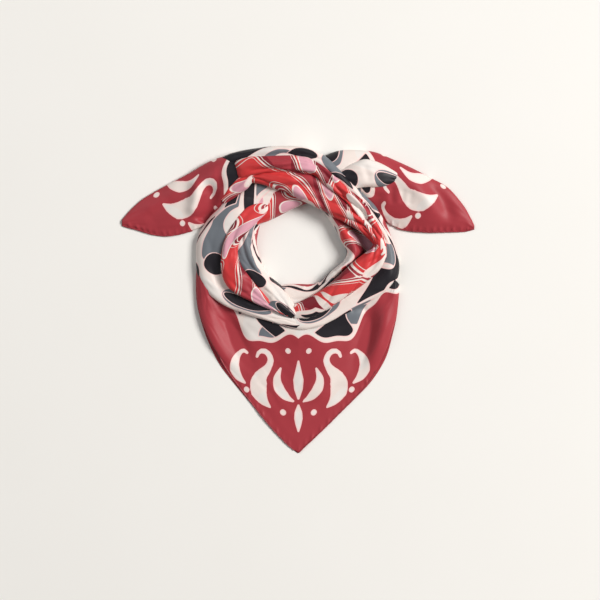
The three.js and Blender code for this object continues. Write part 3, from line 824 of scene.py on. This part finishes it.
rightTail = {
    "nodes": ["right_tail"], "slot": "silk_border", "seed": 987,
    "profile": "tail",
    "rows": [
        (246, 104, 246, 99, 3, 0.8, 0), (240, 116, 239, 97, 5, 0.8, 0), (230, 133, 230, 95.5, 7, 0.8, 0),
        (209, 157, 203, 95, 11.5, 0.8, 0), (182, 172, 175, 95, 17, 0.8, 0), (152, 187, 146, 98, 19, 0.8, 0),
        (126, 199, 124, 108, 20, 0.8, 0), (104, 207, 105, 122, 22, 0.8, 0), (78, 209, 88, 138, 24, 0.8, 0),
        (56, 208, 74, 150, 25, 0.8, 0), (38, 202, 60, 162, 25, 0.8, 0),
    ],
    "folds": [
        {"path": [(124, 178), (148, 168), (168, 153), (183, 135), (195, 112)], "width": 13, "height": 5.5,
         "fade": (0.35, 0.35)},
        {"path": [(166, 170), (187, 153), (203, 134), (214, 114), (222, 106)], "width": 10, "height": -5.0,
         "fade": (0.35, 0.3)},
        {"path": [(132, 160), (130, 146), (132, 130)], "width": 4.5, "height": -1.6},
        {"path": [(146, 156), (145, 144), (144, 132)], "width": 4.5, "height": -1.3},
        {"path": [(157, 152), (156, 142), (154, 130)], "width": 4.5, "height": -1.1},
        {"path": [(112, 152), (110, 138), (114, 122)], "width": 9, "height": -2.8},
    ],
    "dents": {"each": 5200, "height": 0.5},
    "gathers": [(-1, 0.05, 0.6)],
    "print": {"from": "corner", "tip": 2, "way": 1, "side": -3},
}

rightTailFold = {
    "nodes": ["right_tail_fold"], "slot": "silk_border", "seed": 1597,
    "profile": "ridge",
    "rows": [
        (50, 174, 66, 152, 27, 15, 0), (64, 184, 76, 153, 31, 15, 0), (79, 191, 86, 155, 33, 15, 0),
        (92, 195, 97, 156, 33, 15, 0), (105, 193, 108, 156, 31, 14, 0), (118, 188, 119, 157, 28, 13, 0),
        (129, 182, 128, 160, 24, 13, 0), (139, 176, 137, 163, 20, 12, 0), (150, 169, 147, 163, 16, 11, 0),
    ],
    "folds": [
        {"path": [(90, 188), (96, 172), (98, 160)], "width": 5, "height": -1.4},
    ],
    "print": {"from": "ring", "ring": -66, "way": 1, "inward": [(0, 20), (1, 12)], "over": 1},
}

stretches = {
    "frontCorner": frontCorner, "outerFoldLeft": outerLeft, "outerFoldRight": outerRight,
    "middleFoldLeft": middleLeft, "innerFoldLeft": innerLeft, "innerFoldRight": innerRight,
    "middleFoldRight": middleRight, "upperArmInner": upperInner, "upperArmMiddle": upperMiddle,
    "upperArmOuter": upperOuter, "crossingLobe": crossingLobe, "leftTail": leftTail,
    "rightTail": rightTail, "rightTailFold": rightTailFold,
}

made, shapes = {}, {}
for name, spec in stretches.items():
    made[name], shapes[name] = makeStretch(name, spec)
    print(name, len(made[name].data.vertices), "points")


lowerLayer = {
    "nodes": ["front_corner_lower"], "slot": "silk_border", "seed": 4, "ripple": 0.02, "lowest": 0.5,
    "profile": "flatHem", "rolled": "flatHem",
    "proud": 0.5, "crest": 0.7, "foot": 0.4,
    "dents": {"each": 1e9, "height": 0},
    "print": frontCorner["print"],
}


def makeLowerLayer(spec):
    # the front corner's rows laid flat, a little proud of the upper layer at its edges
    rows = []
    for outerX, outerY, innerX, innerY, *_ in frontCorner["rows"]:
        out = np.array([outerX - innerX, outerY - innerY], float)
        out *= spec["proud"] / np.linalg.norm(out)
        rows.append((outerX + out[0], outerY + out[1], innerX, innerY, spec["crest"], spec["foot"], 0))
    return makeStretch("frontCornerUnder", {**spec, "rows": rows})[0]


made["frontCornerUnder"] = makeLowerLayer(lowerLayer)
print("lower layer ready")


# rolled hems, puckered where each stitch pulls them in

hem = {  # mm
    "radius": 1.0,
    "pucker": 0.22,  # share of the radius that a stitch pulls in
    "stitch": 9.5,
    "stray": 1.6,  # how far a stitch may be out of its place
    "pulled": 1.5,  # half width of a pucker
    "step": 1.6,
}


def makeHem(name, line, node, seed):
    rng = np.random.default_rng(seed)
    line = np.asarray(line, float)
    _, length = evenPlaces(line, 8)
    count = int(length / hem["step"])
    places, _ = evenPlaces(line, count)
    points = lineThrough(line, places)
    run = np.linspace(0, length, count + 1)
    stitches = np.arange(0, length, hem["stitch"])
    stitches = stitches + rng.uniform(-hem["stray"], hem["stray"], len(stitches))
    pull = np.exp(-(((run[:, None] - stitches[None]) / hem["pulled"]) ** 2)).sum(axis=1)
    radius = hem["radius"] * (1 - hem["pucker"] * pull + 0.05 * np.sin(run / 3.1))
    curve = bpy.data.curves.new(name, "CURVE")
    curve.dimensions = "3D"
    curve.bevel_depth = mm  # for a point radius of 1
    curve.bevel_resolution = 2
    curve.use_fill_caps = True
    spline = curve.splines.new("POLY")
    spline.points.add(count)
    for point, place, r in zip(spline.points, points, radius):
        point.co = (place[0] * mm, place[1] * mm, max(place[2], r + cloth["clearance"]) * mm, 1)
        point.radius = r
    shown = bpy.data.objects.new(name + "Line", curve)
    bpy.context.scene.collection.objects.link(shown)
    bpy.context.view_layer.update()
    mesh = bpy.data.meshes.new_from_object(shown.evaluated_get(bpy.context.evaluated_depsgraph_get()))
    bpy.data.objects.remove(shown)
    mesh.name = name
    mesh.materials.clear()
    mesh.materials.append(hemSilk)
    mesh.shade_smooth()
    obj = bpy.data.objects.new(name, mesh)
    bpy.context.scene.collection.objects.link(obj)
    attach(obj, "root")
    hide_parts(node)
    return obj


def makeHemSilk():
    material = bpy.data.materials.new("hemSilk")
    n = Nodes(material)
    place = n.add("ShaderNodeTexCoord").outputs["Object"]
    worn = n.add("ShaderNodeTexNoise", {"Vector": place, "Scale": 240.0, "Detail": 3.0}).outputs["Fac"]
    colour = n.mix(n.step(worn, 0.3, 0.75), linear("dustyRed"), linear("burgundy"))
    bump = n.add("ShaderNodeBump", {"Height": worn, "Strength": 0.3, "Distance": 0.0004}).outputs[0]
    shader = n.add("ShaderNodeBsdfPrincipled", {
        "Base Color": colour, "Roughness": 0.45, "Normal": bump, "Sheen Weight": 0.2, "Sheen Roughness": 0.4,
    })
    n.add("ShaderNodeOutputMaterial", {"Surface": shader.outputs[0]})
    return material


hemSilk = makeHemSilk()

hemEdges = {  # each hem's stretch, which of its long edges, and the places that it runs between
    "frontHemLeft": {"node": "front_hem_left", "seed": 2, "of": "frontCorner", "side": 0,
                     "near": (-118, -75), "far": (0, -214)},
    "frontHemRight": {"node": "front_hem_right", "seed": 6, "of": "frontCorner", "side": 0,
                      "near": (0, -214), "far": (115, -94)},
    "leftTailHem": {"node": "left_tail_hem", "seed": 7, "of": "leftTail", "side": -1,
                    "near": (-249, 106), "far": (-142, 99)},
    "rightTailHem": {"node": "right_tail_hem", "seed": 9, "of": "rightTail", "side": -1,
                     "near": (248, 98), "far": (135, 102)},
}


def edgeLine(points, side, near, far):
    # the part of a stretch's long edge between two places seen from above
    edge = points[:, side]
    first = int(np.argmin(np.hypot(*(edge[:, :2] - near).T)))
    last = int(np.argmin(np.hypot(*(edge[:, :2] - far).T)))
    return edge[min(first, last): max(first, last) + 1: 6]


for name, spec in hemEdges.items():
    line = edgeLine(shapes[spec["of"]], spec["side"], spec["near"], spec["far"])
    makeHem(name, line, spec["node"], spec["seed"])
print("hems ready")


# what each stretch was cut to

for name, obj in made.items():
    length, breadth = obj["length"] * mm, obj["breadth"] * mm
    area = sum(face.area for face in obj.data.polygons)
    # a stretch that widens or narrows holds more or less than its length by its breadth
    breadth = round(min(max(breadth, area / length), area / (0.4 * length)), 3)
    length = round(length, 3)
    del obj["length"], obj["breadth"]


# floor, light and camera, in m

studio = {
    "floor": 4.0,  # half the side of the floor
    "eye": 2.6,  # height of the camera
    "middle": (0.0022, -0.0003),  # the place straight under the camera
    "frame": 0.84,  # how much floor the picture takes in
    "sensor": 36.0,  # mm
    "air": 0.2,  # strength of the light from all round
    "white": (1.0, 0.985, 0.965),
}

lights = {
    "key": {"place": (4.9, 1.5, 4.6), "size": 2.6, "power": 535, "colour": studio["white"]},
    "fill": {"place": (-3.0, 1.6, 3.0), "size": 2.8, "power": 42, "colour": (0.96, 0.98, 1)},
}


def makeFloor():
    bm = bmesh.new()
    bmesh.ops.create_grid(bm, x_segments=1, y_segments=1, size=studio["floor"])
    mesh = bpy.data.meshes.new("floor")
    bm.to_mesh(mesh)
    bm.free()
    floor = bpy.data.objects.new("floor", mesh)
    bpy.context.scene.collection.objects.link(floor)
    material = bpy.data.materials.new("paper")
    n = Nodes(material)
    place = n.add("ShaderNodeTexCoord").outputs["Object"]
    mottle = n.add("ShaderNodeTexNoise", {"Vector": place, "Scale": 6.0}).outputs["Fac"]
    colour = n.mix(mottle, (0.86, 0.84, 0.80, 1), (0.88, 0.86, 0.825, 1))
    shader = n.add("ShaderNodeBsdfPrincipled", {"Base Color": colour, "Roughness": 0.85})
    n.add("ShaderNodeOutputMaterial", {"Surface": shader.outputs[0]})
    mesh.materials.append(material)


def makeLight(name, spec):
    light = bpy.data.lights.new(name, "AREA")
    light.size, light.energy, light.color = spec["size"], spec["power"], spec["colour"]
    obj = bpy.data.objects.new(name, light)
    obj.location = spec["place"]
    towardsScarf = -obj.location
    obj.rotation_euler = towardsScarf.to_track_quat("-Z", "Y").to_euler()
    bpy.context.scene.collection.objects.link(obj)


def makeCamera():
    camera = bpy.data.cameras.new("camera")
    camera.type = "PERSP"
    camera.sensor_width = studio["sensor"]
    camera.lens = studio["sensor"] * studio["eye"] / studio["frame"]
    camera.clip_end = 20
    obj = bpy.data.objects.new("camera", camera)
    obj.location = (*studio["middle"], studio["eye"])
    bpy.context.scene.collection.objects.link(obj)
    bpy.context.scene.camera = obj


def makeWorld():
    world = bpy.data.worlds.new("studio")
    world.use_nodes = True
    back = world.node_tree.nodes["Background"]
    back.inputs["Color"].default_value = (*studio["white"], 1)
    back.inputs["Strength"].default_value = studio["air"]
    bpy.context.scene.world = world


makeFloor()
for name, spec in lights.items():
    makeLight(name, spec)
makeCamera()
makeWorld()
bpy.context.scene.view_settings.view_transform = "Standard"
bpy.context.scene.view_settings.look = "None"
print("floor, light and camera ready")
